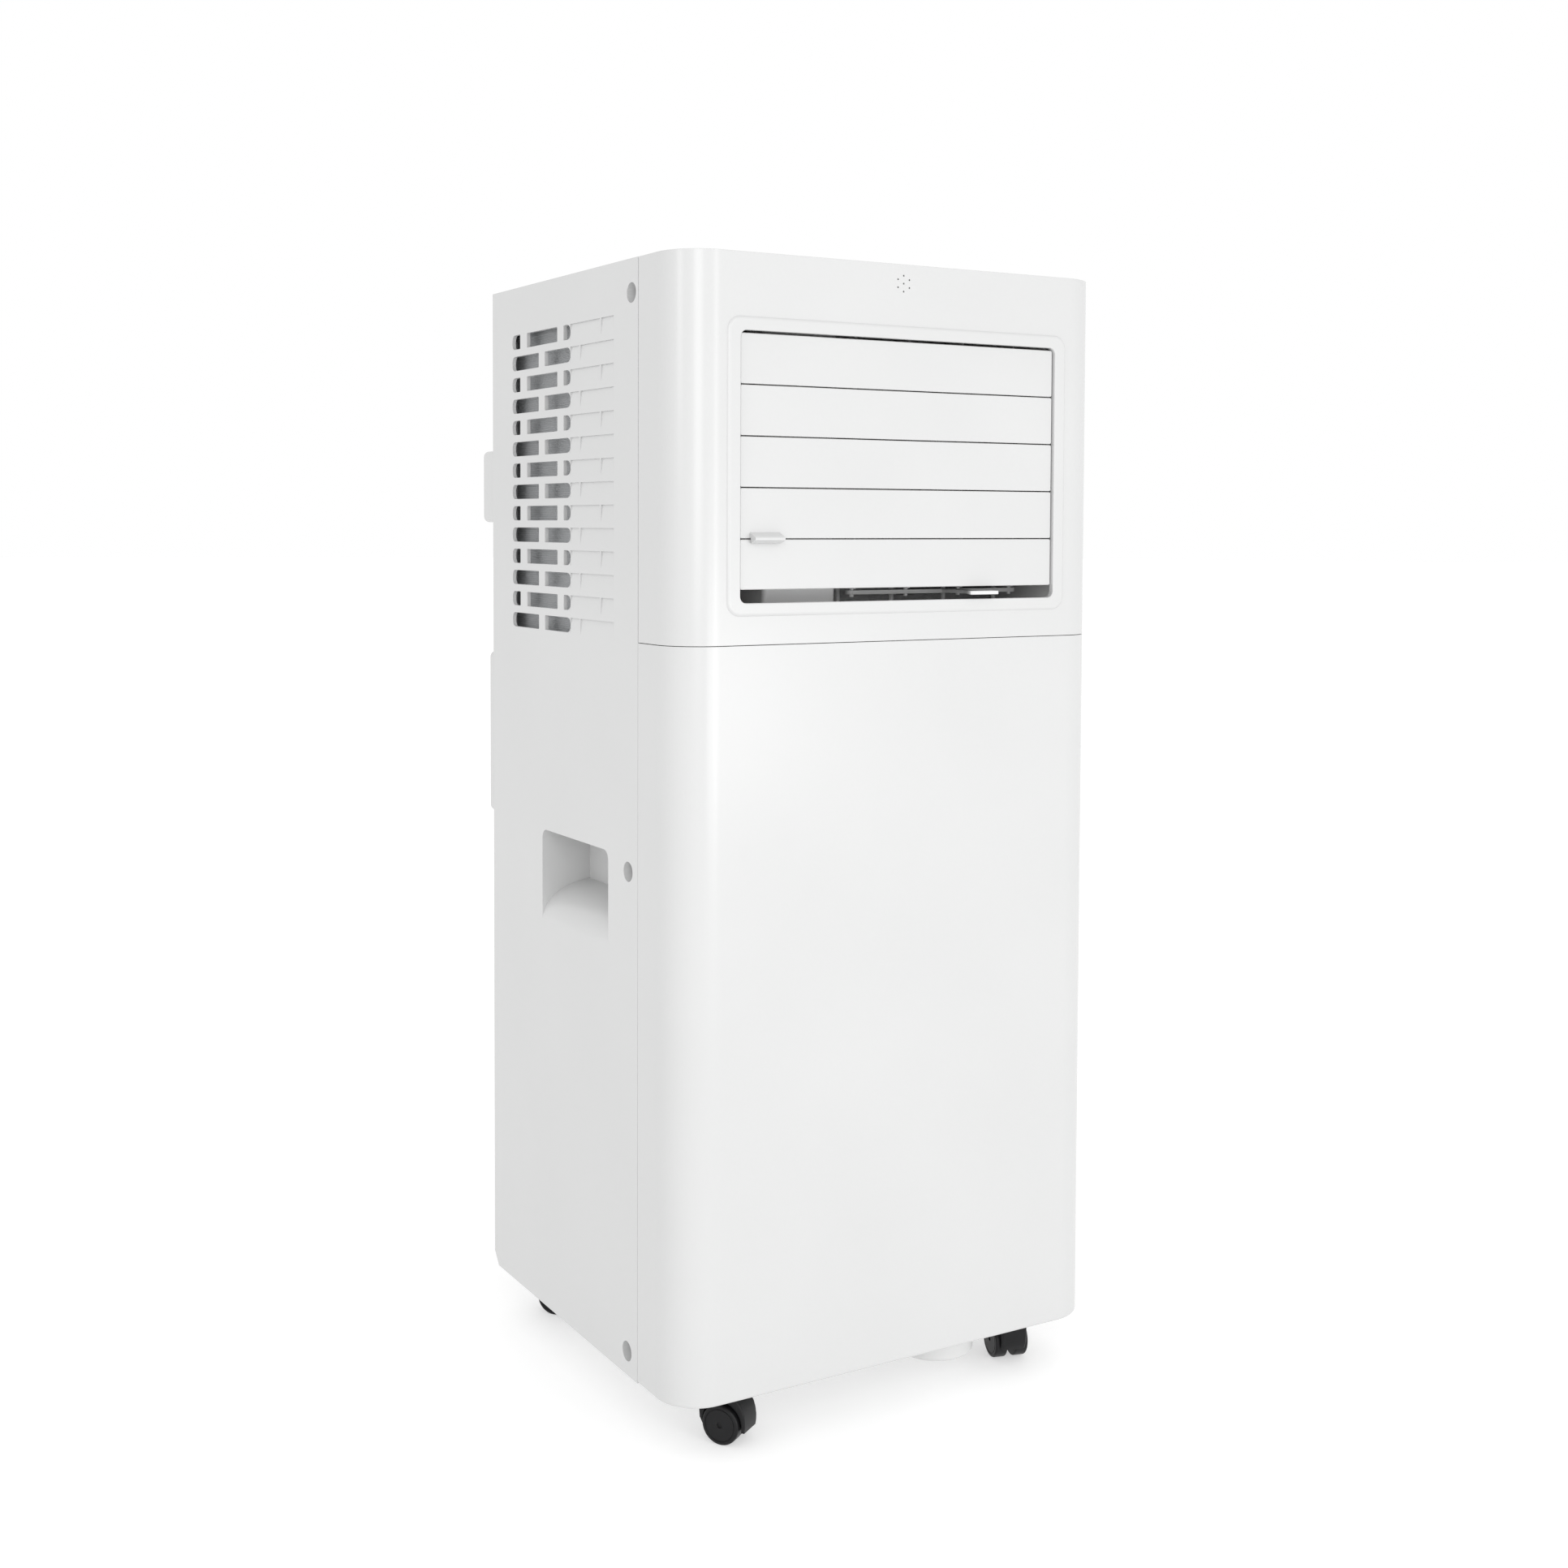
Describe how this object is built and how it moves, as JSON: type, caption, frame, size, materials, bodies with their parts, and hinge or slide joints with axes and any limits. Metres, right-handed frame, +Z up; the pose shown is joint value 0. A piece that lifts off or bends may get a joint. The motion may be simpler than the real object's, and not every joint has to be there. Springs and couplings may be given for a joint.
{
  "type": "portable air conditioner",
  "caption": "Floor-standing portable air conditioner: slim white cabinet, louvred front outlet, brick-pattern side vents, side grip recesses, rear filter cover and hose outlet, on castors.",
  "frame": {"origin": "on the floor, under the middle of the unit's bounding box", "axes": "+Z up from the floor; the louvred front faces -Y; +X is to the right when facing the front"},
  "size_m": [0.305, 0.304, 0.7],
  "materials": {
    "white_gloss": "glossy moulded plastic",
    "white_satin": "satin moulded plastic",
    "black_plastic": "satin black nylon",
    "dark_lens": "smoked glossy lens",
    "grey_mesh": "woven nylon screen",
    "aluminium_fin": "rolled fin stock",
    "copper": null,
    "black_steel": "black enamel",
    "zinc_steel": "zinc-plated sheet",
    "board_green": "solder-masked board",
    "foam_grey": "expanded foam duct"
  },
  "bodies": {
    "casing": {"front_panel_lower": "white_gloss", "front_panel_upper": "white_gloss", "left_side_panel": "white_gloss", "right_side_panel": "white_gloss", "rear_panel": "white_gloss", "top_cover": "white_gloss", "control_panel": "white_satin", "display_lens": "dark_lens", "control_board": "board_green", "outlet_duct": "white_satin", "base_pan": "white_satin", "lower_grille": "white_gloss", "exhaust_outlet": "white_gloss", "cord_gland": "black_plastic", "left_side_filter": "grey_mesh", "right_side_filter": "grey_mesh", "evaporator": "aluminium_fin", "evaporator_scroll": "foam_grey", "evaporator_motor": "zinc_steel", "condenser": "aluminium_fin", "condenser_scroll": "foam_grey", "condenser_motor": "zinc_steel", "drip_tray": "white_satin", "compressor": "black_steel", "accumulator": "black_steel", "suction_pipe": "copper", "discharge_pipe": "copper", "liquid_pipe": "copper", "electrical_box": "zinc_steel"},
    "louvre_slat_1": {"louvre_slat_1": "white_gloss"},
    "louvre_slat_2": {"louvre_slat_2": "white_gloss"},
    "louvre_slat_3": {"louvre_slat_3": "white_gloss"},
    "louvre_slat_4": {"louvre_slat_4": "white_gloss"},
    "louvre_slat_5": {"louvre_slat_5": "white_gloss"},
    "slat_link_bar": {"slat_link_bar": "white_satin"},
    "vane_1": {"vane_1": "white_satin"},
    "vane_2": {"vane_2": "white_satin"},
    "vane_3": {"vane_3": "white_satin"},
    "vane_4": {"vane_4": "white_satin"},
    "vane_link_bar": {"vane_link_bar": "white_satin"},
    "evaporator_blower": {"evaporator_blower": "black_plastic"},
    "condenser_blower": {"condenser_blower": "black_plastic"},
    "power_button": {"power_button": "white_satin"},
    "mode_button": {"mode_button": "white_satin"},
    "fan_button": {"fan_button": "white_satin"},
    "temp_down_button": {"temp_down_button": "white_satin"},
    "temp_up_button": {"temp_up_button": "white_satin"},
    "filter": {"filter_cover": "white_gloss", "filter_mesh": "grey_mesh", "filter_pull_left": "white_gloss", "filter_pull_right": "white_gloss"},
    "drain_plug": {"drain_plug": "black_plastic"},
    "castor_fl_hood": {"castor_fl_hood": "black_plastic"},
    "castor_fl_wheels": {"castor_fl_wheels": "black_plastic"},
    "castor_fr_hood": {"castor_fr_hood": "black_plastic"},
    "castor_fr_wheels": {"castor_fr_wheels": "black_plastic"},
    "castor_rl_hood": {"castor_rl_hood": "black_plastic"},
    "castor_rl_wheels": {"castor_rl_wheels": "black_plastic"},
    "castor_rr_hood": {"castor_rr_hood": "black_plastic"},
    "castor_rr_wheels": {"castor_rr_wheels": "black_plastic"}
  },
  "joints": [
    {"name": "slat_3_pivot", "type": "hinge", "parent": "casing", "child": "louvre_slat_3", "pos_m": [0, -0.134, 0.58055], "axis": [-1, 0, 0], "range_deg": [0, 75]},
    {"name": "slat_1_pivot", "type": "hinge", "parent": "casing", "child": "louvre_slat_1", "pos_m": [0, -0.134, 0.63955], "axis": [-1, 0, 0], "range_deg": [0, 75]},
    {"name": "slat_2_pivot", "type": "hinge", "parent": "casing", "child": "louvre_slat_2", "pos_m": [0, -0.134, 0.61005], "axis": [-1, 0, 0], "range_deg": [0, 75]},
    {"name": "slat_4_pivot", "type": "hinge", "parent": "casing", "child": "louvre_slat_4", "pos_m": [0, -0.134, 0.55105], "axis": [-1, 0, 0], "range_deg": [0, 75]},
    {"name": "slat_5_pivot", "type": "hinge", "parent": "casing", "child": "louvre_slat_5", "pos_m": [0, -0.134, 0.52155], "axis": [-1, 0, 0], "range_deg": [0, 75]},
    {"name": "slat_bar_pin", "type": "hinge", "parent": "louvre_slat_3", "child": "slat_link_bar", "pos_m": [-0.1154, -0.12607, 0.58664], "axis": [-1, 0, 0], "range_deg": [-75, 0]},
    {"name": "vane_2_pivot", "type": "hinge", "parent": "casing", "child": "vane_2", "pos_m": [0.025, -0.096, 0.5785], "axis": [0, 0, 1], "range_deg": [-30, 30]},
    {"name": "vane_1_pivot", "type": "hinge", "parent": "casing", "child": "vane_1", "pos_m": [-0.015, -0.096, 0.5785], "axis": [0, 0, 1], "range_deg": [-30, 30]},
    {"name": "vane_3_pivot", "type": "hinge", "parent": "casing", "child": "vane_3", "pos_m": [0.065, -0.096, 0.5785], "axis": [0, 0, 1], "range_deg": [-30, 30]},
    {"name": "vane_4_pivot", "type": "hinge", "parent": "casing", "child": "vane_4", "pos_m": [0.105, -0.096, 0.5785], "axis": [0, 0, 1], "range_deg": [-30, 30]},
    {"name": "vane_bar_pin", "type": "hinge", "parent": "vane_2", "child": "vane_link_bar", "pos_m": [0.025, -0.112, 0.502], "axis": [0, 0, 1], "range_deg": [-30, 30]},
    {"name": "evaporator_fan_shaft", "type": "hinge", "parent": "casing", "child": "evaporator_blower", "pos_m": [0, -0.043, 0.578], "axis": [0, 1, 0], "continuous": true},
    {"name": "condenser_fan_shaft", "type": "hinge", "parent": "casing", "child": "condenser_blower", "pos_m": [0, 0.0325, 0.228], "axis": [0, 1, 0], "continuous": true},
    {"name": "power_button_press", "type": "slide", "parent": "casing", "child": "power_button", "axis": [0, 0, -1], "range_m": [0, 0.001], "stiffness_N_per_m": 600, "springref_m": -0.0005},
    {"name": "mode_button_press", "type": "slide", "parent": "casing", "child": "mode_button", "axis": [0, 0, -1], "range_m": [0, 0.001], "stiffness_N_per_m": 600, "springref_m": -0.0005},
    {"name": "fan_button_press", "type": "slide", "parent": "casing", "child": "fan_button", "axis": [0, 0, -1], "range_m": [0, 0.001], "stiffness_N_per_m": 600, "springref_m": -0.0005},
    {"name": "temp_down_button_press", "type": "slide", "parent": "casing", "child": "temp_down_button", "axis": [0, 0, -1], "range_m": [0, 0.001], "stiffness_N_per_m": 600, "springref_m": -0.0005},
    {"name": "temp_up_button_press", "type": "slide", "parent": "casing", "child": "temp_up_button", "axis": [0, 0, -1], "range_m": [0, 0.001], "stiffness_N_per_m": 600, "springref_m": -0.0005},
    {"name": "filter_slide", "type": "slide", "parent": "casing", "child": "filter", "axis": [0, 1, 0], "range_m": [0, 0.08]},
    {"name": "drain_plug_pull", "type": "slide", "parent": "casing", "child": "drain_plug", "axis": [0, 1, 0], "range_m": [0, 0.03]},
    {"name": "castor_fl_swivel", "type": "hinge", "parent": "casing", "child": "castor_fl_hood", "pos_m": [-0.109, -0.1155, 0.033], "axis": [0, 0, 1], "continuous": true},
    {"name": "castor_fl_roll", "type": "hinge", "parent": "castor_fl_hood", "child": "castor_fl_wheels", "pos_m": [-0.10518, -0.12137, 0.012], "axis": [0.8383, 0.5452, 0], "continuous": true},
    {"name": "castor_fr_swivel", "type": "hinge", "parent": "casing", "child": "castor_fr_hood", "pos_m": [0.109, -0.1155, 0.033], "axis": [0, 0, 1], "continuous": true},
    {"name": "castor_fr_roll", "type": "hinge", "parent": "castor_fr_hood", "child": "castor_fr_wheels", "pos_m": [0.11082, -0.10874, 0.012], "axis": [-0.9656, 0.2599, 0], "continuous": true},
    {"name": "castor_rl_swivel", "type": "hinge", "parent": "casing", "child": "castor_rl_hood", "pos_m": [-0.109, 0.0965, 0.033], "axis": [0, 0, 1], "continuous": true},
    {"name": "castor_rl_roll", "type": "hinge", "parent": "castor_rl_hood", "child": "castor_rl_wheels", "pos_m": [-0.1132, 0.1021, 0.012], "axis": [-0.8, -0.6, 0], "continuous": true},
    {"name": "castor_rr_swivel", "type": "hinge", "parent": "casing", "child": "castor_rr_hood", "pos_m": [0.109, 0.0965, 0.033], "axis": [0, 0, 1], "continuous": true},
    {"name": "castor_rr_roll", "type": "hinge", "parent": "castor_rr_hood", "child": "castor_rr_wheels", "pos_m": [0.1125, 0.10256, 0.012], "axis": [-0.866, 0.5, 0], "continuous": true}
  ],
  "couplings": [
    {"joint": "slat_1_pivot", "follows": "slat_3_pivot", "ratio": 1},
    {"joint": "slat_2_pivot", "follows": "slat_3_pivot", "ratio": 1},
    {"joint": "slat_4_pivot", "follows": "slat_3_pivot", "ratio": 1},
    {"joint": "slat_5_pivot", "follows": "slat_3_pivot", "ratio": 1},
    {"joint": "slat_bar_pin", "follows": "slat_3_pivot", "ratio": -1},
    {"joint": "vane_1_pivot", "follows": "vane_2_pivot", "ratio": 1},
    {"joint": "vane_3_pivot", "follows": "vane_2_pivot", "ratio": 1},
    {"joint": "vane_4_pivot", "follows": "vane_2_pivot", "ratio": 1},
    {"joint": "vane_bar_pin", "follows": "vane_2_pivot", "ratio": -1}
  ]
}
